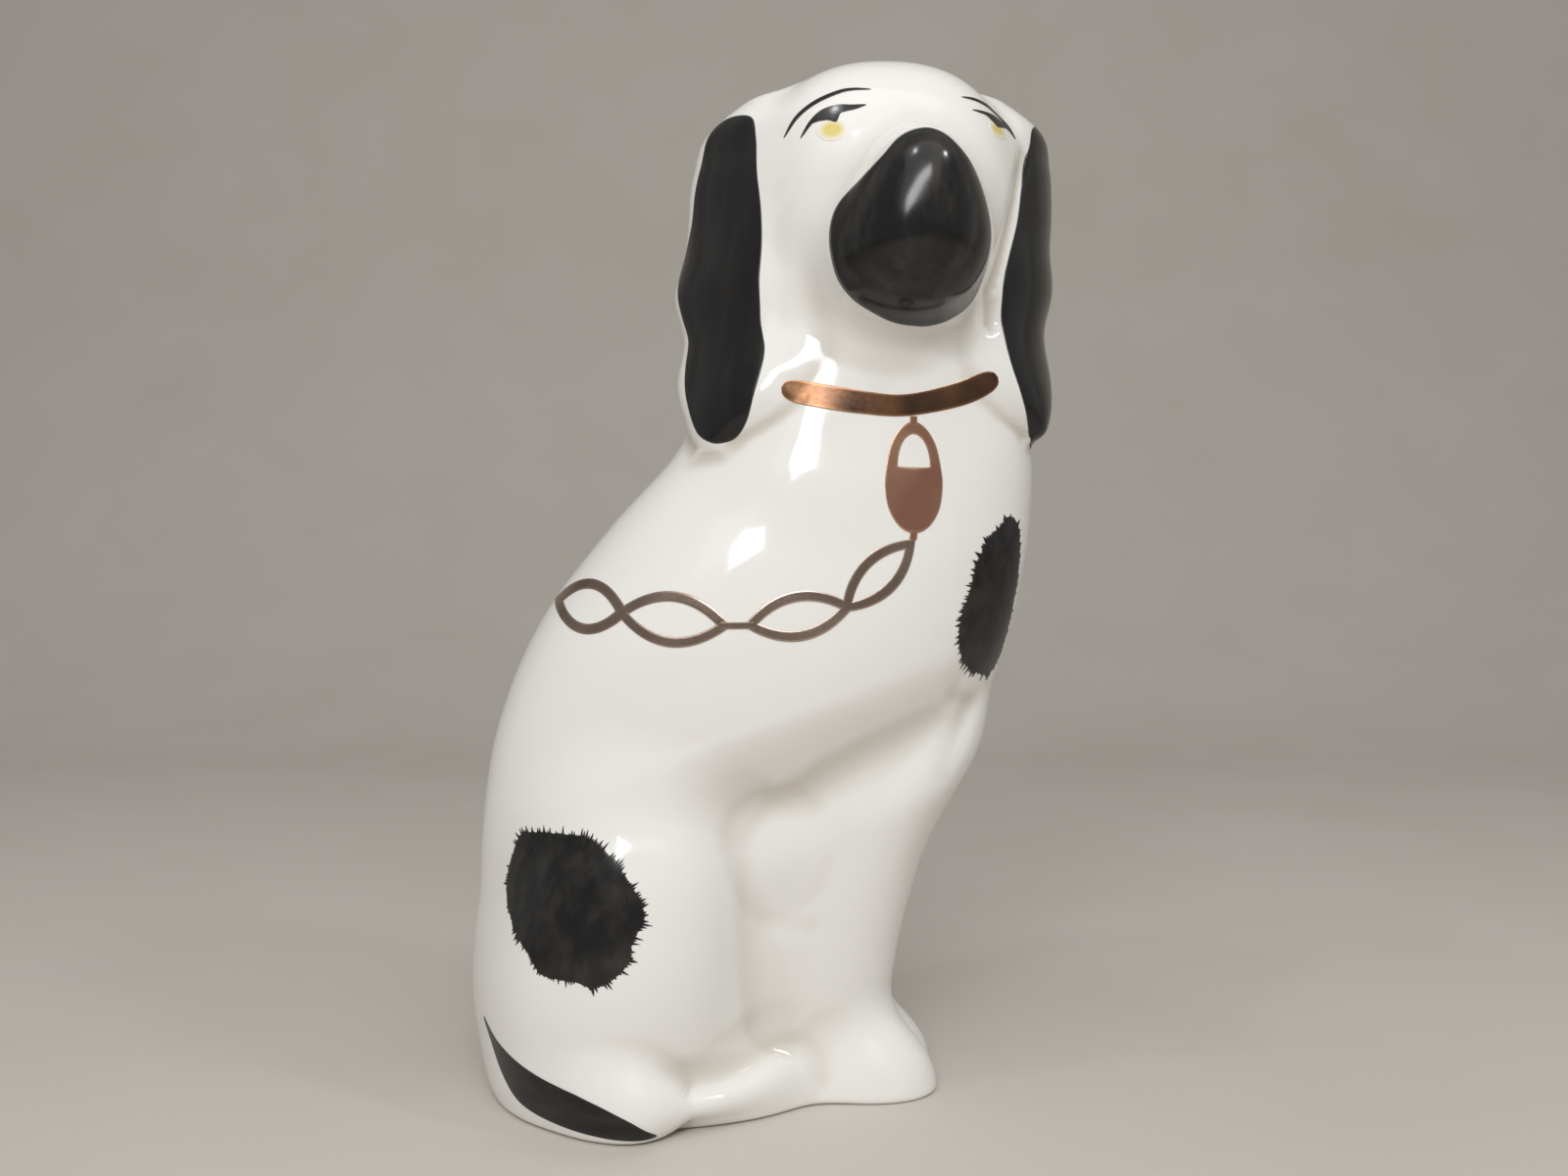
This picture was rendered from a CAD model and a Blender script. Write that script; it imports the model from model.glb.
import bmesh
import bpy
import numpy as np
from mathutils import Matrix


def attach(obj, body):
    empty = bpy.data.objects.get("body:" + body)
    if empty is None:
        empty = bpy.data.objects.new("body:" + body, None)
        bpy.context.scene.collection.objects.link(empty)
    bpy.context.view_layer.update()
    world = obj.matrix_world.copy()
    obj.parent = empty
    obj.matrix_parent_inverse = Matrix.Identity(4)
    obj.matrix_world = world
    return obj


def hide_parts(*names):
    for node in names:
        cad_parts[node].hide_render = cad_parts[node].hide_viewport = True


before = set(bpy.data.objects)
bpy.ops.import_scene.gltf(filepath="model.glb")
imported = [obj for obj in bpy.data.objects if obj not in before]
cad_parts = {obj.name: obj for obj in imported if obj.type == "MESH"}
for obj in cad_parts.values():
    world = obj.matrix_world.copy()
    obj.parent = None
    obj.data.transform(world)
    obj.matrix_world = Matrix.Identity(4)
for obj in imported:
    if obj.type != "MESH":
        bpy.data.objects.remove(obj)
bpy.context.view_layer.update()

# Moulded body
# The pot itself: two pressed halves of white earthenware luted into one hollow skin and dipped in clear glaze.
# Its form is a set of rounded masses run together, as a modeller builds them up in clay. Sizes are in mm.
MM = 0.001
MIDDLE_Y = 5.0
WALL = 5.0
FOOT_EDGE = 1.2
HEAD = (25.7, 205.0)
FACE_TURN = 10.0
HEAD_ROLL = 0.044
HEAD_LEAN = 0.055
BACK_LINE = [(0, -63), (15, -67), (35, -68), (58, -67.6), (86, -63.2), (111, -52.2), (131, -37), (150, -20),
             (165, -10), (185, -5)]
CHEST_LINE = [(0, 18), (15, 24), (37, 28.6), (55, 34), (80, 47.5), (105, 57), (133, 62.2), (147, 62.5),
              (160, 59), (185, 52)]
SPINE_LINE = [(0, -14), (40, -14), (80, -8), (120, 4), (160, 21), (205, 25.7)]
RIB_HALF_WIDTH = [(40, 26), (80, 32.6), (105, 35), (120, 34.2), (150, 29.4), (185, 26)]
BELLY_HALF_WIDTH = [(0, 14), (40, 18), (110, 24)]
LEG_HALF_WIDTH = [(0, 11), (30, 17.5), (60, 21.5), (85, 24)]
LEG_HALF_DEPTH = 18.5
LEG_TOP = 69.0
BELLY_LINE = 74.5
BELLY_LINE_SLOPE = 0.36
BELLY_LINE_SPREAD = 26.0
TRUNK_TOP = 180.0
TRUNK_POWER = 2.2
HAUNCH_CENTRE = (-32.0, 15.0, 36.0)
HAUNCH_RADII = (26.6, 25.2, 46.0)
HAUNCH_TILT = 10.0
RUMP_CENTRE = (-33.7, 0.0, 24.0)
RUMP_RADII = (33.5, 38.5, 44.0)
HIND_FOOT_CENTRE = (-5.0, 16.0)
HIND_FOOT_RADII = (25.0, 11.5, 13.0)
HIND_FOOT_TURN = -32.0
ELBOW_CENTRE = (-1.0, 13.0, 59.0)
ELBOW_RADII = (12.0, 9.5, 12.0)
PAW_CENTRE = (25.5, 8.5)
PAW_RADII = (13.5, 10.5, 13.0)
NECK_TOP = np.array([23.7, 2.0, 195.0])
NECK_FOOT = np.array([14.0, 0.0, 140.0])
NECK_TOP_RADIUS = 28.0
NECK_FLARE = 3.2
SKULL_RADII = (32.5, 33.0, 34.6)
SKULL_POWER = 2.35
MUZZLE_CENTRE = (28.0, -14.5)
MUZZLE_RADII = (18.5, 25.0, 18.0)
NOSE_CENTRE = (36.0, -3.0)
NOSE_RADII = (10.5, 16.0, 12.0)
EAR_TOP, EAR_TIP = 28.0, -55.0
TRUNK_EDGE, LEG_EDGE, EAR_EDGE = 16.0, 16.0, 2.0
HAUNCH_FILLET, RUMP_FILLET, TAIL_FILLET = 13.0, 6.0, 7.0
FOOT_FILLET, LEG_FILLET, ELBOW_FILLET, PAW_FILLET = 9.0, 9.0, 7.0, 13.0
NECK_FILLET, SKULL_FILLET, NOSE_FILLET, MUZZLE_FILLET, EAR_FILLET = 8.0, 6.0, 8.0, 10.0, 4.0
TAIL_CENTRE_X, TAIL_HEIGHT, TAIL_FLATTENING = -29.0, 6.0, 0.8
TAIL_RING = [(-40, 26), (0, 26.6), (30, 27.6), (60, 30.2), (80, 34.6), (95, 37.6), (110, 38.5)]
TAIL_ROLL = [(-40, 4), (0, 6.4), (60, 8.4), (95, 6), (110, 1)]
RIGHT_EAR_REACH = [(-55, 40), (-51, 42.3), (-46, 44), (-40, 45), (-29, 43.8), (-18, 46.2), (-8, 44.4),
                   (12, 42.6), (21, 39.3), (28, 30)]
LEFT_EAR_REACH = [(-55, 40), (-51, 42.3), (-46, 44), (-40, 45), (-29, 43.8), (-18, 46.4), (-8, 45.4),
                  (5, 46.2), (12, 46), (20, 43.5), (28, 31)]
EAR_FORWARD = [(-55, 15), (-45, 12.5), (-35, 9), (-20, 6), (-5, 4), (28, 1)]
EAR_HALF_LENGTH = [(-55, 3), (-50, 10), (-40, 17), (-29, 17.6), (-18, 19.5), (-8, 18.5), (5, 18), (15, 16),
                   (28, 6)]
EAR_HALF_THICKNESS = [(-55, 2.5), (-48, 6), (-40, 7), (10, 7), (28, 4)]
EAR_SPLAY = np.radians(52.0)
CHEEK_GROOVES = [
    ([(32, 12.6), (28.6, 3.5), (25.5, -7.4), (22.8, -16.7), (20.9, -21.7), (21.4, -28.8)], 1.7, 0.8),
    ([(-25.5, 12.6), (-26.5, -2.1), (-27, -19.5), (-26.8, -32.7), (-26.6, -42.7)], 3.4, 0.3),
]
FUR_GROOVES = [
    ([(46.5, 104), (41.9, 93.4)], 2.6, 0.4),
    ([(46, 90.5), (39.9, 74.4)], 2.8, 0.45),
    ([(-0.1, 42.2), (9.7, 41)], 2.6, 0.12),
]


def along(stations, z):
    """Size at z: cubic pieces through (z, size) stations, each slope read from its neighbours, level past the
    ends."""
    heights, sizes = np.array(stations, float).T
    slopes = np.gradient(sizes, heights)
    i = np.clip(np.searchsorted(heights, z) - 1, 0, len(heights) - 2)
    step = heights[i + 1] - heights[i]
    t = np.clip((z - heights[i]) / step, 0, 1)
    ends = sizes[i] * (1 + 2 * t) * (1 - t) ** 2 + sizes[i + 1] * t**2 * (3 - 2 * t)
    return ends + step * t * (1 - t) * (slopes[i] * (1 - t) - slopes[i + 1] * t)


def joined(a, b, fillet):
    """Two masses run together: the smaller distance, less a fillet where the two are nearly equal."""
    h = np.clip(0.5 + 0.5 * (b - a) / fillet, 0, 1)
    return b + (a - b) * h - fillet * h * (1 - h)


def turned(a, b, angle):
    """The pair a, b in axes turned by an angle in degrees."""
    c, s = np.cos(np.radians(angle)), np.sin(np.radians(angle))
    return c * a + s * b, c * b - s * a


def rounded(a, b, c, radii, power=2.0):
    """Distance to an ellipsoid: its size less one, over the steepness of that size; a power over 2 squares it
    off."""
    ratio = [np.abs(p) / r for p, r in zip((a, b, c), radii)]
    size = np.maximum(sum(q**power for q in ratio), 1e-9) ** (1 / power)
    steep = sum((q ** (power - 1) / r) ** 2 for q, r in zip(ratio, radii)) ** 0.5
    return (size - 1) * size ** (power - 1) / np.maximum(steep, 1e-6)


def body_clay(x, y, z):
    """Distance to trunk, haunches, rump, feet, forelegs, tail and neck, run together with fillets."""
    side = np.abs(y)
    back, chest = along(BACK_LINE, z), along(CHEST_LINE, z)
    share = np.clip(0.5 + (z - BELLY_LINE - BELLY_LINE_SLOPE * x) / BELLY_LINE_SPREAD, 0, 1)
    share = share**2 * (3 - 2 * share)
    width = along(BELLY_HALF_WIDTH, z) * (1 - share) + along(RIB_HALF_WIDTH, z) * share
    depth = (chest - back) / 2
    oval = (np.abs(x - (back + chest) / 2) / depth) ** TRUNK_POWER + (side / width) ** TRUNK_POWER
    oval = oval ** (1 / TRUNK_POWER)
    clay = -joined(-(oval - 1) * np.minimum(depth, width), TRUNK_TOP - z, TRUNK_EDGE)
    pz, px = turned(z - HAUNCH_CENTRE[2], x - HAUNCH_CENTRE[0], HAUNCH_TILT)
    clay = joined(clay, rounded(px, side - HAUNCH_CENTRE[1], pz, HAUNCH_RADII), HAUNCH_FILLET)
    rump = rounded(x - RUMP_CENTRE[0], y - RUMP_CENTRE[1], z - RUMP_CENTRE[2], RUMP_RADII)
    clay = joined(clay, rump, RUMP_FILLET)
    px, py = turned(x - HIND_FOOT_CENTRE[0], side - HIND_FOOT_CENTRE[1], HIND_FOOT_TURN)
    clay = joined(clay, rounded(px, py, z, HIND_FOOT_RADII), FOOT_FILLET)
    across = np.abs(x - chest + LEG_HALF_DEPTH) / LEG_HALF_DEPTH
    post = (across**3 + (side / along(LEG_HALF_WIDTH, z)) ** 3) ** (1 / 3)
    leg_end = LEG_TOP + BELLY_LINE_SLOPE * x - z
    clay = joined(clay, -joined(-(post - 1) * LEG_HALF_DEPTH, leg_end, LEG_EDGE), LEG_FILLET)
    elbow = rounded(x - ELBOW_CENTRE[0], side - ELBOW_CENTRE[1], z - ELBOW_CENTRE[2], ELBOW_RADII)
    clay = joined(clay, elbow, ELBOW_FILLET)
    clay = joined(clay, rounded(x - PAW_CENTRE[0], side - PAW_CENTRE[1], z, PAW_RADII), PAW_FILLET)
    angle = np.degrees(np.arctan2(-y, TAIL_CENTRE_X - x))
    ring = np.hypot(x - TAIL_CENTRE_X, y) - along(TAIL_RING, angle)
    roll = np.hypot(ring, (z - TAIL_HEIGHT) * TAIL_FLATTENING) - along(TAIL_ROLL, angle)
    clay = joined(clay, roll, TAIL_FILLET)
    run = NECK_FOOT - NECK_TOP
    px, py, pz = x - NECK_TOP[0], y - NECK_TOP[1], z - NECK_TOP[2]
    t = np.clip((px * run[0] + py * run[1] + pz * run[2]) / (run @ run), 0, 1)
    off = (px - t * run[0]) ** 2 + (py - t * run[1]) ** 2 + (pz - t * run[2]) ** 2
    return joined(clay, off**0.5 - NECK_TOP_RADIUS - NECK_FLARE * t, NECK_FILLET)


def pressed(a, b, line, width, depth):
    """Depth of a soft groove: most on a line of points in the plane of a and b, fading as a bell curve
    beside it."""
    near = np.full(np.shape(a), 1e3)
    for (p, q), (r, s) in zip(line[:-1], line[1:]):
        t = np.clip(((a - p) * (r - p) + (b - q) * (s - q)) / ((r - p) ** 2 + (s - q) ** 2), 0, 1)
        near = np.minimum(near, np.hypot(a - p - t * (r - p), b - q - t * (s - q)))
    return depth * np.exp(-((near / width) ** 2))


def clay(x, y, z):
    """Distance to the whole figure: the body, then skull, muzzle, nose and two hanging ears in the head's
    axes, with the grooves of the cheeks and fur pressed in."""
    y = y - MIDDLE_Y
    up = z - HEAD[1]
    seen = turned(x - HEAD[0], y, FACE_TURN)[0]
    tooled = sum(pressed(seen, up, *each) for each in CHEEK_GROOVES) * np.clip(-y / 8, 0, 1)
    tooled = tooled + sum(pressed(x, z, *each) for each in FUR_GROOVES) * np.clip(-y / 4, 0, 1)
    across, back = turned(x - HEAD[0] - HEAD_LEAN * np.minimum(up, 0), y, FACE_TURN)
    forward, up = -back, up - HEAD_ROLL * across
    skull = rounded(across, forward + 1, up, SKULL_RADII, SKULL_POWER)
    figure = joined(body_clay(x, y, z), skull, SKULL_FILLET)
    muzzle = rounded(across, forward - MUZZLE_CENTRE[0], up - MUZZLE_CENTRE[1], MUZZLE_RADII)
    nose = rounded(across, forward - NOSE_CENTRE[0], up - NOSE_CENTRE[1], NOSE_RADII)
    figure = joined(figure, joined(muzzle, nose, NOSE_FILLET), MUZZLE_FILLET)
    length, thick = along(EAR_HALF_LENGTH, up), along(EAR_HALF_THICKNESS, up)
    c, s = np.cos(EAR_SPLAY), np.sin(EAR_SPLAY)
    reach = np.where(across < 0, along(RIGHT_EAR_REACH, up), along(LEFT_EAR_REACH, up))
    out = np.abs(across) - reach + ((length * c) ** 2 + (thick * s) ** 2) ** 0.5
    off = forward - along(EAR_FORWARD, up)
    flap = (((out * c - off * s) / length) ** 2 + ((out * s + off * c) / thick) ** 2) ** 0.5
    ends = np.minimum(EAR_TOP - up, up - EAR_TIP)
    ear = -joined(-(flap - 1) * np.minimum(length, thick), ends, EAR_EDGE)
    return joined(figure, ear, EAR_FILLET) + tooled


def skin_points(z, rise, inset, turn):
    """A ray leaves the spine at height z, turned round it and raised by an angle; halving its length again and
    again finds where the clay's distance is minus the inset."""
    z, rise, inset = z[:, None], rise[:, None], inset[:, None]
    spine = along(SPINE_LINE, z)
    near, far = np.zeros((len(z), len(turn))), np.full((len(z), len(turn)), 150.0)
    for halving in range(26):
        reach = (near + far) / 2
        p = (spine + reach * np.cos(rise) * np.cos(turn), MIDDLE_Y + reach * np.cos(rise) * np.sin(turn),
             z + reach * np.sin(rise))
        inside = clay(*p) < -inset
        near, far = np.where(inside, reach, near), np.where(inside, far, reach)
    return np.stack(p, -1)


def grid_piece(name, grids, flip, **values):
    """Mesh through grids of points in mm: a quad between four neighbours, closed round each row, doubled
    points at a pole or along a core line merged. Values are one number per point, kept as attributes."""
    points, faces, first = [], [], 0
    for grid in grids:
        rows, columns = grid.shape[:2]
        index = first + np.arange(rows * columns).reshape(rows, columns)
        beside = np.roll(index, -1, axis=1)
        quads = np.stack([index[:-1], beside[:-1], beside[1:], index[1:]], -1).reshape(-1, 4)
        faces.append(quads[:, ::-1] if flip else quads)
        points.append(grid.reshape(-1, 3))
        first += rows * columns
    points, faces = np.concatenate(points) * MM, np.concatenate(faces)
    mesh = bpy.data.meshes.new(name)
    mesh.from_pydata(points.tolist(), [], faces.tolist())
    for key, numbers in values.items():
        kept = mesh.attributes.new(key, "FLOAT", "POINT")
        kept.data.foreach_set("value", np.concatenate([n.ravel() for n in numbers]).astype(np.float32))
    work = bmesh.new()
    work.from_mesh(mesh)
    bmesh.ops.remove_doubles(work, verts=work.verts, dist=1e-7)
    work.to_mesh(mesh)
    work.free()
    mesh.polygons.foreach_set("use_smooth", np.ones(len(mesh.polygons), bool))
    piece = bpy.data.objects.new(name, mesh)
    bpy.context.scene.collection.objects.link(piece)
    return piece


def fixed(piece, material, slot, *nodes):
    """Gives a piece its finish and its place in the frame."""
    piece.data.materials.append(material)
    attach(piece, "root")
    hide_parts(*nodes)


def linear(code):
    """sRGB hex colour to linear light: a power of 2.4 above the short straight part near black."""
    c = np.array([int(code[i:i + 2], 16) for i in (1, 3, 5)]) / 255
    return (*np.where(c > 0.04045, ((c + 0.055) / 1.055) ** 2.4, c / 12.92).tolist(), 1.0)


def node(tree, kind, inputs, **settings):
    """Adds a shader node with its settings, and fills or links its inputs."""
    made = tree.nodes.new(kind)
    for key, value in settings.items():
        setattr(made, key, value)
    for socket, value in inputs.items():
        if isinstance(value, bpy.types.NodeSocket):
            tree.links.new(value, made.inputs[socket])
        else:
            made.inputs[socket].default_value = value
    return made


def finish(name):
    """An empty material, its node tree and its object coordinates."""
    material = bpy.data.materials.new(name)
    material.use_nodes = True
    material.node_tree.nodes.clear()
    place = node(material.node_tree, "ShaderNodeTexCoord", {}).outputs["Object"]
    return material, material.node_tree, place


def mottle(tree, place, size, detail):
    """Noise whose patches are about a size in mm wide."""
    patches = node(tree, "ShaderNodeTexNoise", {"Vector": place, "Scale": 1 / (size * MM), "Detail": detail})
    return patches.outputs["Fac"]


def shaded(tree, **inputs):
    """Ends a material with a principled surface."""
    surface = node(tree, "ShaderNodeBsdfPrincipled", {k.replace("_", " "): v for k, v in inputs.items()})
    node(tree, "ShaderNodeOutputMaterial", {"Surface": surface.outputs["BSDF"]})


# Clear lead glaze over white earthenware: nearly white with a hard wet gloss. It pools a shade darker in the
# creases, its colour drifts over some 40 mm, and it has low ripples about 9 mm apart and rare ash specks.
glaze, tree, place = finish("clear_glazed_earthenware")
pooled = node(tree, "ShaderNodeAttribute", {}, attribute_name="pooling").outputs["Fac"]
drift = mottle(tree, place, 40, 3.0)
tint = node(tree, "ShaderNodeMix", {"Factor": drift, "A": linear("#f1f0ed"), "B": linear("#ebe9e4")},
            data_type="RGBA")
deep = node(tree, "ShaderNodeMix", {"Factor": pooled, "A": tint.outputs["Result"], "B": linear("#d3cdc3")},
            data_type="RGBA")
cells = node(tree, "ShaderNodeTexVoronoi", {"Vector": place, "Scale": 1 / (15 * MM)})
near_seed = node(tree, "ShaderNodeMath", {0: cells.outputs["Distance"], 1: 0.018},
                 operation="LESS_THAN").outputs[0]
lot = node(tree, "ShaderNodeSeparateColor", {"Color": cells.outputs["Color"]}).outputs["Red"]
chosen = node(tree, "ShaderNodeMath", {0: lot, 1: 0.93}, operation="GREATER_THAN").outputs[0]
speck = node(tree, "ShaderNodeMath", {0: near_seed, 1: chosen}, operation="MULTIPLY").outputs[0]
colour = node(tree, "ShaderNodeMix", {"Factor": speck, "A": deep.outputs["Result"], "B": linear("#5c4c3a")},
              data_type="RGBA")
ripple = mottle(tree, place, 9, 2.0)
wet = node(tree, "ShaderNodeMapRange", {"Value": ripple, "To Min": 0.05, "To Max": 0.13}).outputs["Result"]
relief = node(tree, "ShaderNodeBump",
              {"Height": ripple, "Strength": 0.25, "Distance": 0.12 * MM}).outputs["Normal"]
shaded(tree, Base_Color=colour.outputs["Result"], Roughness=wet, Normal=relief, IOR=1.52)

COLUMNS = 288
level = np.linspace(FOOT_EDGE + 0.7, HEAD[1], 250, endpoint=False)
curl = np.linspace(0, np.pi / 2, 6)
crown = np.linspace(0, np.pi / 2, 62)
inner_z, inner_inset = [4.0, 1.0, 0.25, 0.0], [WALL, WALL, WALL - 0.2, WALL - 0.8]
rows_z = np.concatenate([inner_z, FOOT_EDGE * (1 - np.cos(curl)), level, np.full(len(crown), HEAD[1])])
plain = np.zeros(len(level) + len(crown))
rows_inset = np.concatenate([inner_inset, FOOT_EDGE * (1 - np.sin(curl)), plain])
rows_rise = np.concatenate([np.zeros(len(rows_z) - len(crown)), crown])
skin = skin_points(rows_z, rows_rise, rows_inset, np.linspace(0, 2 * np.pi, COLUMNS, endpoint=False))


def hollowness(points, step=2.5):
    """How hollow the skin is: the mean of the clay's distance a step away each way, less its own, 0 to 1."""
    x, y, z = np.moveaxis(points, -1, 0)
    around = sum(clay(x + a, y + b, z + c) for a, b, c in step * np.concatenate([np.eye(3), -np.eye(3)])) / 6
    return np.clip((clay(x, y, z) - around) / 0.18, 0, 1)


body = grid_piece("glazed_body", [skin], False, pooling=[hollowness(skin)])
fixed(body, glaze, "glazed_earthenware", "front_shell", "back_shell")

# Base slab and seam roll
# A slab of clay luted into the foot with its steam hole, and the roll pressed over the seam inside. Both are
# plain fired clay that no glaze reached, a little sandy and warmer than the skin.
biscuit, tree, place = finish("biscuit_earthenware")
sand = mottle(tree, place, 1.2, 4.0)
smoke = mottle(tree, place, 22, 2.0)
fired = node(tree, "ShaderNodeMix", {"Factor": smoke, "A": linear("#dccfb8"), "B": linear("#c9b596")},
             data_type="RGBA")
grain = node(tree, "ShaderNodeBump", {"Height": sand, "Strength": 0.4, "Distance": 0.2 * MM}).outputs["Normal"]
shaded(tree, Base_Color=fired.outputs["Result"], Roughness=0.85, Normal=grain)
for name in ("base_slab", "seam_roll"):
    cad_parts[name].data.materials.clear()
    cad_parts[name].data.materials.append(biscuit)

# Black of the ears
# A thick coat of black enamel brushed down each ear flap and fired on the glaze, almost out to the wavy edge.
# Its strokes run down the ear, and a hair-thin rim of white is left round it.
LAYER = 0.13
HEAD_CENTRE = (HEAD[0], MIDDLE_Y, HEAD[1])
RIGHT_EAR = [(-15.9, 19.3), (-13, 13.4), (-11, 3.8), (-9.3, -4.3), (-8.5, -12.2), (-8.1, -23.4), (-7.6, -30),
             (-5.9, -35.8), (-5.7, -40.3), (-6.5, -45.8), (-8.1, -51.1), (-11.2, -55.1), (-14.8, -56.5),
             (-18, -56), (-22, -53.4), (-25.8, -47.4), (-28.3, -42.5), (-30, -36.4), (-30.5, -31.2),
             (-32.8, -26), (-35.3, -18.2), (-35.8, -12.8), (-34.5, -8), (-33, -2.9), (-32.4, 4), (-30.8, 13),
             (-29, 18.5), (-24.5, 20.8)]
LEFT_EAR = [(19, 20), (16.1, 15.2), (12.5, 9.1), (9.2, 1.8), (7, -5.4), (3.9, -13.2), (2.3, -18.5), (2, -24.1),
            (1.8, -31), (1.5, -37), (2.6, -42.5), (5, -47.5), (9.5, -53), (15, -56), (21, -53.5), (26.5, -45),
            (30, -34), (34.2, -18), (33.5, -5), (34.5, 6), (33.8, 14), (30, 20.5), (24.5, 22.4)]


def curve(points, count, closed):
    """Smooth line through points: in each span a cubic whose slope at a point is half the step between its two
    neighbours, then evened out to equal steps along its length."""
    p = np.array(points, float)
    if closed:
        spans, before, after = len(p), np.roll(p, 1, axis=0), np.roll(p, -1, axis=0)
    else:
        spans = len(p) - 1
        before, after = np.vstack([2 * p[0] - p[1], p[:-1]]), np.vstack([p[1:], 2 * p[-1] - p[-2]])
    slope = (after - before) / 2
    t = np.linspace(0, 1, 60, endpoint=False)[None, :, None]
    a, b, m = p[:spans, None], after[:spans, None], slope[:spans, None]
    n = np.roll(slope, -1, axis=0)[:spans, None]
    line = a * (1 + 2 * t) * (1 - t) ** 2 + b * t**2 * (3 - 2 * t) + t * (1 - t) * (m * (1 - t) - n * t)
    line = line.reshape(-1, 2)
    line = np.vstack([line, p[0] if closed else p[-1]])
    length = np.concatenate([[0], np.cumsum(np.hypot(*np.diff(line, axis=0).T))])
    at = np.linspace(0, length[-1], count, endpoint=not closed)
    loop = np.stack([np.interp(at, length, line[:, i]) for i in (0, 1)], -1)
    x, y = loop.T
    clockwise = closed and np.sum(x * np.roll(y, -1) - y * np.roll(x, -1)) < 0
    return loop[::-1] if clockwise else loop


def on_skin(flat, turn, centre, lift):
    """Points drawn across and up on an upright plane that faces an azimuth, slid straight back by the clay's
    own distance until they meet the skin, then lifted along the distance's gradient."""
    a = np.radians(turn)
    ahead = np.array([np.sin(a), -np.cos(a), 0])
    plane = flat[..., :1] * [np.cos(a), np.sin(a), 0]
    p = np.array(centre) + plane + flat[..., 1:] * [0, 0, 1] + 90 * ahead
    for step in range(70):
        p = p - 0.75 * clay(p[..., 0], p[..., 1], p[..., 2])[..., None] * ahead
    h = 0.2 * np.eye(3)
    slope = np.stack([clay(*np.moveaxis(p + d, -1, 0)) - clay(*np.moveaxis(p - d, -1, 0)) for d in h], -1)
    return p + np.asarray(lift)[..., None] * slope / np.linalg.norm(slope, axis=-1, keepdims=True)


def fired_layer(name, bands, turn, centre, rings=26, thickness=LAYER):
    """A layer laid on the skin in bands. Each band runs in rings from an inner loop to an outer one, one layer
    thick, and turns down into the glaze at its edges; a filled band's inner loop is its core, with no edge
    there."""
    grids, edges = [], []
    for inner, outer, filled in bands:
        t = np.linspace(0, 1, rings) ** 0.9
        if filled:
            t = np.concatenate([t[:-1], [0.985, 1, 1]])
        else:
            t = np.concatenate([[0, 0, 0.03], t[2:-2], [0.97, 1, 1]])
        lift = np.full(len(t), thickness)
        lift[-2:] = 0.7 * thickness, -thickness
        if not filled:
            lift[:2] = -thickness, 0.7 * thickness
        flat = inner + t[:, None, None] * (outer - inner)
        grids.append(on_skin(flat, turn, centre, np.broadcast_to(lift[:, None], flat.shape[:2])))
        reach = np.hypot(*np.moveaxis(outer - inner, -1, 0))
        edges.append((1 - t if filled else np.minimum(t, 1 - t))[:, None] * reach)
    return grid_piece(name, grids, True, edge=edges)


def ragged(loop, depth, spacing, seed):
    """A brush's hairy edge: pointed teeth on a loop, up to a depth long at random, pushed out along its
    normal."""
    lot = np.random.default_rng(seed)
    x, y = loop.T
    run = np.stack([np.roll(x, -1) - np.roll(x, 1), np.roll(y, -1) - np.roll(y, 1)], -1)
    length = np.hypot(*run.T)
    teeth = int(length.sum() / 2 / spacing)
    at = np.linspace(0, teeth, len(loop), endpoint=False)
    tall = lot.uniform(0, 1, teeth)[at.astype(int)] ** 1.6
    tooth = np.where(at % 1 < 0.7, at % 1 / 0.7, (1 - at % 1) / 0.3)
    out = np.stack([run[:, 1], -run[:, 0]], -1) / length[:, None]
    return loop + depth * (tall * tooth)[:, None] * out


# Black enamel: near-black glass, glossy, with strokes some 4 mm wide where the brush left more or less of it,
# and thinning to a smoky brown in its last half millimetre, where the white shows through.
def black_enamel(name, squash, thin_share):
    """Black with strokes drawn out along the axes that are squashed, and a share of thin smoky ground."""
    material, tree, place = finish(name)
    brush = node(tree, "ShaderNodeMapping", {"Vector": place, "Scale": squash}).outputs["Vector"]
    strokes = node(tree, "ShaderNodeTexNoise", {"Vector": brush, "Scale": 1 / (4 * MM), "Detail": 5.0,
                                                "Roughness": 0.6}).outputs["Fac"]
    coat = node(tree, "ShaderNodeMapRange", {"Value": strokes, "From Min": 0.45, "From Max": 0.8,
                                             "To Max": thin_share}).outputs["Result"]
    border = node(tree, "ShaderNodeAttribute", {}, attribute_name="edge").outputs["Fac"]
    rim = node(tree, "ShaderNodeMapRange", {"Value": border, "From Max": 0.5, "To Min": 0.5, "To Max": 0.0})
    thin = node(tree, "ShaderNodeMath", {0: coat, 1: rim.outputs["Result"]}, operation="MAXIMUM").outputs[0]
    ink = node(tree, "ShaderNodeMix", {"Factor": thin, "A": linear("#0a0a0b"), "B": linear("#4d463e")},
               data_type="RGBA")
    gloss = node(tree, "ShaderNodeMapRange",
                 {"Value": strokes, "To Min": 0.1, "To Max": 0.26}).outputs["Result"]
    ridges = node(tree, "ShaderNodeBump",
                  {"Height": strokes, "Strength": 0.3, "Distance": 0.1 * MM}).outputs["Normal"]
    shaded(tree, Base_Color=ink.outputs["Result"], Roughness=gloss, Normal=ridges, IOR=1.5)
    return material


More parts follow.
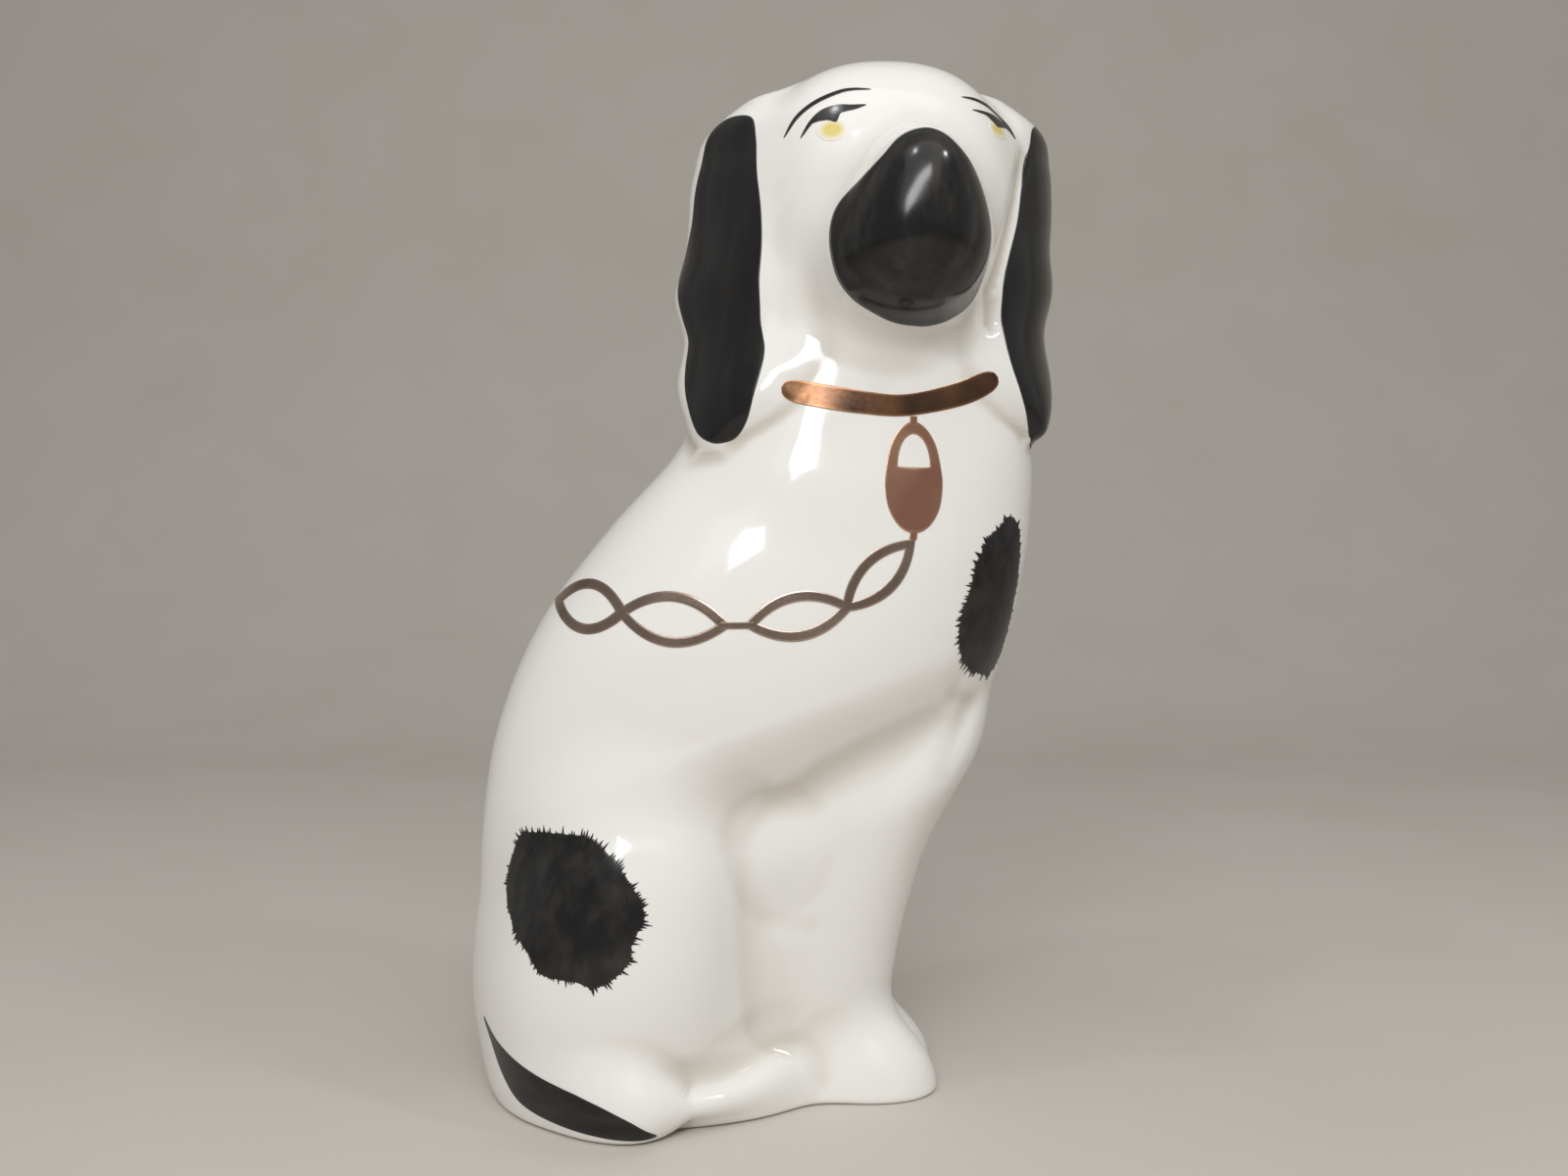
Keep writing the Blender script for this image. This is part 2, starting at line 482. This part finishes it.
downward = black_enamel("black_enamel_brushed_down", (1, 1, 0.16), 0.14)
for name, outline, turn, middle in (
    ("right_ear_black", RIGHT_EAR, FACE_TURN - 45, (-20, -17)),
    ("left_ear_black", LEFT_EAR, FACE_TURN + 45, (19, -18)),
):
    loop = curve(outline, 420, True)
    ear = fired_layer(name, [(np.array([middle]), loop, True)], turn, HEAD_CENTRE, rings=40)
    fixed(ear, downward, "black_enamel", name.replace("black", "enamel"))

# Black of the muzzle
# One pool of the same enamel over nose, lips and chin, egg-shaped with its point up between the eyes. It has
# thin smoky patches where the brush came off.
MUZZLE_BLACK = [(-0.6, 6.3), (2.8, 5), (6, 2.2), (9.6, -0.6), (13.2, -4.2), (16.6, -8.6), (18.2, -14.5),
                (17.2, -21.5),
                (14.6, -26), (9.1, -30), (4, -31.9), (-0.5, -32.3), (-5, -31.8), (-9.6, -30), (-13.8, -27.2),
                (-16.9, -23),
                (-18.4, -17.5), (-18.3, -12), (-16.6, -7.2), (-12.9, -3.2), (-9.3, 0.6), (-5.4, 4.8)]
loop = curve(MUZZLE_BLACK, 420, True)
muzzle = fired_layer("muzzle_black", [(np.array([[0, -14]]), loop, True)], FACE_TURN, HEAD_CENTRE, rings=40)
fixed(muzzle, black_enamel("black_enamel_pooled", (0.5, 1, 0.3), 0.5), "black_enamel", "muzzle_enamel")

# Brows and eyelids
# Four quick strokes of a fine brush in black: a long brow over each eye, and under it a lid that swells down
# into the pupil. Each starts and ends in a point.
STROKES = {
    "right_brow": ([(-25.5, 11.3), (-22.9, 15.5), (-19.2, 18.4), (-14.3, 20.4), (-11.3, 20.9), (-7.4, 20.7)],
                   0.5, [(0, 0), (1, 0)]),
    "left_brow": ([(13.6, 20.8), (18, 21.2), (22.9, 20.8), (27, 18.7), (29.7, 15.5)], 0.55, [(0, 0), (1, 0)]),
    "right_eyelid": ([(-22.5, 10.1), (-20.2, 13.6), (-17.8, 15.7), (-14.8, 16.5), (-11.8, 16.4), (-8.9, 16.6)],
                     0.5, [(0, 0), (0.24, 0.1), (0.4, 1.9), (0.5, 2.9), (0.58, 3), (0.64, 1.6), (0.74, 0.9),
                           (0.86, 0.5), (1, 0)]),
    "left_eyelid": ([(16, 17.9), (19, 18.1), (23, 18.4), (27, 17.6), (29.7, 15.5)], 0.5,
                    [(0, 0), (0.3, 0.3), (0.42, 1.5), (0.52, 2), (0.62, 1.4), (0.74, 0.3), (1, 0)]),
}


def stroke(path, above, below):
    """Loop round a path, out to a width above and below it, and the path itself there and back as its core."""
    run = np.gradient(path, axis=0)
    left = np.stack([-run[:, 1], run[:, 0]], -1) / np.hypot(*run.T)[:, None]
    under, over = path - below[:, None] * left, path + above[:, None] * left
    return np.vstack([path, path[::-1]]), np.vstack([under, over[::-1]]), True


fine = black_enamel("black_enamel_fine_line", (1, 1, 1), 0.2)
t = np.linspace(0, 1, 110)
for name, (points, width, drop) in STROKES.items():
    taper = width * np.sin(np.pi * np.clip(t, 0.004, 0.996)) ** 0.55
    pupil = np.maximum(along(drop, t), 0)
    line = fired_layer(f"{name}_stroke", [stroke(curve(points, 110, False), taper, taper + pupil)], FACE_TURN,
                       HEAD_CENTRE, rings=9)
    fixed(line, fine, "black_enamel", f"{name}_line")

# Irises
# A dab of thin yellow enamel under each pupil, soft at its edge where it washes out into the glaze.
yellow, tree, place = finish("yellow_enamel_wash")
wash = mottle(tree, place, 1.5, 2.0)
border = node(tree, "ShaderNodeAttribute", {}, attribute_name="edge").outputs["Fac"]
rim = node(tree, "ShaderNodeMapRange", {"Value": border, "From Max": 1.6}).outputs["Result"]
full = node(tree, "ShaderNodeMapRange", {"Value": wash, "To Min": 0.75, "To Max": 1.0}).outputs["Result"]
soft = node(tree, "ShaderNodeMath", {0: rim, 1: full}, operation="MULTIPLY").outputs[0]
dab = node(tree, "ShaderNodeMix", {"Factor": soft, "A": linear("#eeece5"), "B": linear("#dcc85a")},
           data_type="RGBA")
shaded(tree, Base_Color=dab.outputs["Result"], Roughness=0.14, IOR=1.5)
IRISES = {"right": ((-16.3, 11.0), (3.0, 2.7)), "left": ((23.1, 15.0), (2.8, 2.1))}
angle = np.linspace(0, 2 * np.pi, 90, endpoint=False)
for hand, (middle, radii) in IRISES.items():
    loop = np.array(middle) + np.stack([radii[0] * np.cos(angle), radii[1] * np.sin(angle)], -1)
    iris = fired_layer(f"{hand}_iris", [(np.array([middle]), loop, True)], FACE_TURN, HEAD_CENTRE, rings=12,
                       thickness=0.07)
    fixed(iris, yellow, "yellow_enamel", f"{hand}_iris_enamel")

# Gilt collar
# A band of bright gold brushed round the throat from ear to ear, worn thin and brown along its middle. It was
# fired at low heat on the glaze, so it mirrors what stands round it.
COLLAR = [(-27, -44.8), (-20.5, -46.5), (-10.2, -48.3), (-0.2, -48.7), (12.5, -45.7), (22.2, -41.3)]
COLLAR_HALF_WIDTH = 2.5


# Burnished gold: a metal film with a brown cast, brighter on the thicker bead of its edges, with fine streaks
# about 1 mm wide and patches some 12 mm wide where it is rubbed.
def gilding(name, bright, dull):
    """Gold film from a bright edge colour to a dull worn one."""
    material, tree, place = finish(name)
    worn = mottle(tree, place, 12, 1.5)
    border = node(tree, "ShaderNodeAttribute", {}, attribute_name="edge").outputs["Fac"]
    bead = node(tree, "ShaderNodeMapRange",
                {"Value": border, "From Max": 0.55, "To Min": 0.9, "To Max": 0.0})
    patch = node(tree, "ShaderNodeMapRange",
                 {"Value": worn, "From Min": 0.4, "From Max": 0.75, "To Max": 0.6}).outputs["Result"]
    share = node(tree, "ShaderNodeMath", {0: patch, 1: bead.outputs["Result"]}, operation="ADD",
                 use_clamp=True)
    film = node(tree, "ShaderNodeMix", {"Factor": share.outputs[0], "A": linear(dull), "B": linear(bright)},
                data_type="RGBA")
    streak = mottle(tree, place, 1, 3.0)
    polish = node(tree, "ShaderNodeMapRange",
                  {"Value": streak, "To Min": 0.14, "To Max": 0.3}).outputs["Result"]
    brushed = node(tree, "ShaderNodeBump", {"Height": streak, "Strength": 0.25, "Distance": 0.05 * MM})
    shaded(tree, Base_Color=film.outputs["Result"], Metallic=0.9, Roughness=polish,
           Normal=brushed.outputs["Normal"])
    return material


gold = gilding("burnished_gold", "#a97a55", "#523d33")
t = np.linspace(0, 1, 160)
band = COLLAR_HALF_WIDTH * (1 - np.abs(2 * t - 1) ** 16) ** 0.5 * (1 + 0.05 * np.sin(9 * t)) + 0.01
collar = fired_layer("collar_gilt", [stroke(curve(COLLAR, 160, False), band, band)], FACE_TURN, HEAD_CENTRE,
                     rings=12)
fixed(collar, gold, "gilding", "collar_gilding")

# Gilt padlock
# A padlock drawn in a more coppery gold under the collar: a full drop-shaped body and a thin shackle round a
# bare white window, with a short stem up to the collar and one down to the chain.
PADLOCK_TOP = (32.2, MIDDLE_Y, 152.5)
PADLOCK = [(0, 0.3), (2.9, -1.4), (5, -5), (6.1, -10), (6.4, -14), (5.6, -19), (3.2, -22.8), (0, -24.2),
           (-3.2, -22.8), (-5.6, -19), (-6.4, -14), (-6.1, -10), (-5, -5), (-2.9, -1.4)]
WINDOW = [(0, -2.5), (1.9, -3.6), (3.1, -6), (3.6, -9), (3.2, -9.7), (0, -9.8), (-3.2, -9.7), (-3.6, -9),
          (-3.1, -6), (-1.9, -3.6)]
STEMS = ([(0, 1.4), (0, -0.6)], [(-0.3, -25.6), (0, -23.6)])
STEM_HALF_WIDTH = np.full(30, 0.8)


def about(loop, middle, count):
    """A loop's points again, at even angles about a middle point, starting from the right."""
    x, y = (loop - middle).T
    angle = np.arctan2(y, x)
    order = np.argsort(angle)
    even = np.linspace(-np.pi, np.pi, count, endpoint=False)
    return middle + np.stack([np.interp(even, angle[order], v[order], period=2 * np.pi) for v in (x, y)], -1)


middle = np.array([0, -6.8])
window, drop = (about(curve(line, 900, True), middle, 240) for line in (WINDOW, PADLOCK))
bands = [(window, drop, False)]
bands += [stroke(curve(stem, len(STEM_HALF_WIDTH), False), STEM_HALF_WIDTH, STEM_HALF_WIDTH) for stem in STEMS]
padlock = fired_layer("padlock_gilt", bands, 0, PADLOCK_TOP, rings=22)
fixed(padlock, gilding("coppery_gold", "#cfa688", "#b07f6b"), "gilding", "padlock_gilding")

# Gilt chain
# Four long links drawn as outlines with a loaded brush, joined at their points, from the padlock across the
# shoulder to the back. This gold was thinner and has greyed.
LINKS = [((31.5, 126.2), (17.3, 112.2), 3.6), ((17.8, 112.4), (-3.4, 108.5), 4.2),
         ((-8.6, 108.4), (-31.6, 111.1), 4.9), ((-31.0, 111.1), (-48.2, 113.8), 5.0)]
LINE = 2.3
BAR = [(-2.2, 108.5), (-9.8, 108.4)]
BAR_HALF_WIDTH = np.full(30, 0.75)


def link(start, end, half_height):
    """Inner and outer loops of a link: along its axis the cosine of a turn, across it the sine raised to a
    power that sharpens both ends."""
    start, end = np.array(start), np.array(end)
    along_it = (end - start) / np.linalg.norm(end - start)
    across_it = np.array([-along_it[1], along_it[0]])
    turn = np.linspace(0, 2 * np.pi, 200, endpoint=False)
    half = np.linalg.norm(end - start) / 2
    sharp = np.sin(turn) * np.abs(np.sin(turn)) ** 0.95
    loops = [
        (start + end) / 2 + ((half + long) * np.cos(turn))[:, None] * along_it
        + ((half_height + tall) * sharp)[:, None] * across_it
        for long, tall in ((-0.85 * LINE, -LINE / 2), (0.55 * LINE, LINE / 2))
    ]
    return loops[0], loops[1], False


greyed = gilding("greyed_gold", "#b5a294", "#8d7a6d")
bands = [link(*each) for each in LINKS]
bands.append(stroke(curve(BAR, len(BAR_HALF_WIDTH), False), BAR_HALF_WIDTH, BAR_HALF_WIDTH))
chain = fired_layer("chain_gilt", bands, 0, (0, MIDDLE_Y, 0), rings=10)
fixed(chain, greyed, "gilding", "chain_gilding")

# Black spots
# One spot of black enamel on the chest and one on the haunch, each dabbed on with a stiff brush whose hairs
# left a ragged edge.
CHEST_SPOT = [(24.8, 132.6), (21.7, 130.5), (17.5, 126.9), (14.7, 121.5), (13.4, 115.4), (12, 109.6),
              (12.3, 104.6), (15.5, 100.1), (22.5, 97.1), (28, 97.2), (30.8, 101.5), (31.6, 108.6),
              (31.4, 116.9), (30.6, 125), (28.6, 130.5)]
HAUNCH_SPOT = [(-41.3, 61.7), (-37.3, 62.8), (-28.1, 63.2), (-21.4, 62.6), (-16.1, 58.9), (-12.6, 55.1),
               (-9.6, 49.8), (-8.7, 46.8), (-10.5, 41.9), (-11.2, 37.9), (-13.4, 34.9), (-17.5, 32.7),
               (-21.8, 33.8), (-29.6, 34.4), (-33.8, 38.1), (-40.4, 42.8), (-45.2, 48.4), (-45.5, 53.9),
               (-43.3, 58.6)]
BRISTLE_LENGTH = 2.0
BRISTLE_SPACING = 0.6
dabbed = black_enamel("black_enamel_dabbed", (0.6, 1, 0.4), 0.45)
for name, outline, turn, middle, seed in (
    ("chest_spot", CHEST_SPOT, 50, (22, 115), 3),
    ("haunch_spot", HAUNCH_SPOT, -25, (-26, 48.5), 8),
):
    loop = ragged(curve(outline, 1400, True), BRISTLE_LENGTH, BRISTLE_SPACING, seed)
    spot = fired_layer(f"{name}_black", [(np.array([middle]), loop, True)], turn, (0, 0, 0), rings=30)
    fixed(spot, dabbed, "black_enamel", f"{name}_enamel")

# Black of the tail
# The curled tail that lies round the foot, blackened in one sweep that tapers to a point at its tip.
TAIL = [(-40, 20), (-33.3, 17), (-25.2, 14.5), (-17.4, 12.4), (-11, 11), (-6.6, 10), (-0.6, 8), (3.8, 5.6),
        (6, 2.6), (5, 1.5), (0.9, 1.7), (-4.9, 2.2), (-12, 2.8), (-18.9, 3.7), (-25.2, 5.6), (-30.8, 10),
        (-36, 15.5)]
loop = curve(TAIL, 420, True)
tail = fired_layer("tail_black", [(np.array([[-20, 9.3]]), loop, True)], -40, (0, 0, 0), rings=26)
fixed(tail, black_enamel("black_enamel_swept", (0.3, 0.3, 1), 0.35), "black_enamel", "tail_enamel")

# Floor, light and camera
# A sheet of pale paper that sweeps up behind the figure, a long window-shaped lamp high in front, a broad soft
# ceiling lamp, two small spots for the sparkle, and a camera level with the figure's middle.
SWEEP_START, SWEEP_BEND_AT, SWEEP_BEND = -1200.0, 600.0, 500.0
SWEEP_TOP, SWEEP_HALF_WIDTH = 2200.0, 2600.0
CAMERA_PLACE = (4.0, -323.0, 116.5)
LENS, SENSOR = 31.5, 36.0
WORLD_STRENGTH = 0.42
paper, tree, place = finish("pale_paper")
fibre = mottle(tree, place, 90, 2.0)
sheet = node(tree, "ShaderNodeMix", {"Factor": fibre, "A": linear("#d2cdc6"), "B": linear("#cac4bc")},
             data_type="RGBA")
shaded(tree, Base_Color=sheet.outputs["Result"], Roughness=0.7)
bend = np.linspace(0, np.pi / 2, 24)
wall_y = SWEEP_BEND_AT + SWEEP_BEND
profile_y = np.concatenate([[SWEEP_START], SWEEP_BEND_AT + SWEEP_BEND * np.sin(bend), [wall_y]])
profile_z = np.concatenate([[0], SWEEP_BEND - SWEEP_BEND * np.cos(bend), [SWEEP_TOP]])
across = np.array([-SWEEP_HALF_WIDTH, SWEEP_HALF_WIDTH])
sweep = np.stack(np.broadcast_arrays(across[None, :], profile_y[:, None], profile_z[:, None]), -1)
index = np.arange(sweep.shape[0] * 2).reshape(-1, 2)
mesh = bpy.data.meshes.new("paper_sweep")
mesh.from_pydata((sweep.reshape(-1, 3) * MM).tolist(), [],
                 np.stack([index[:-1, 0], index[:-1, 1], index[1:, 1], index[1:, 0]], -1).tolist())
mesh.polygons.foreach_set("use_smooth", np.ones(len(mesh.polygons), bool))
mesh.materials.append(paper)
floor = bpy.data.objects.new("paper_sweep", mesh)
bpy.context.scene.collection.objects.link(floor)


def lamp(name, place, aim, size, watts, roll=0.0):
    """A rectangular white lamp at a place, turned to shine at a point, in mm, and rolled by an angle in
    degrees."""
    light = bpy.data.lights.new(name, "AREA")
    light.shape, light.size, light.size_y = "RECTANGLE", size[0] * MM, size[1] * MM
    light.energy = watts
    lit = bpy.data.objects.new(name, light)
    lit.location = np.array(place) * MM
    back, up = np.array(place, float) - aim, np.array([0.0, 0.0, 1.0])
    back /= np.linalg.norm(back)
    side = np.cross(up, back)
    side /= np.linalg.norm(side)
    side, rise = turned(side, np.cross(back, side), roll)
    turn = np.stack([side, rise, back], -1)
    lit.rotation_euler = Matrix(turn.tolist()).to_euler()
    bpy.context.scene.collection.objects.link(lit)


lamp("window_lamp", (-55, -713, 540), (20, -20, 150), (510, 150), 2.5, 20)
lamp("ceiling", (0, -700, 1050), (0, 0, 80), (1500, 1300), 4.6)
lamp("right_spot", (455, -215, 700), (10, -10, 110), (60, 60), 0.5)
lamp("left_spot", (-250, -290, 900), (10, -10, 150), (50, 50), 0.4)
world = bpy.data.worlds.new("studio")
bpy.context.scene.world = world
world.use_nodes = True
world.node_tree.nodes["Background"].inputs["Color"].default_value = linear("#efeeec")
world.node_tree.nodes["Background"].inputs["Strength"].default_value = WORLD_STRENGTH
bpy.context.scene.view_settings.view_transform = "Standard"

view = bpy.data.cameras.new("camera")
view.lens, view.sensor_width = LENS, SENSOR
camera = bpy.data.objects.new("camera", view)
camera.location = np.array(CAMERA_PLACE) * MM
camera.rotation_euler = (np.pi / 2, 0, 0)
bpy.context.scene.collection.objects.link(camera)
bpy.context.scene.camera = camera
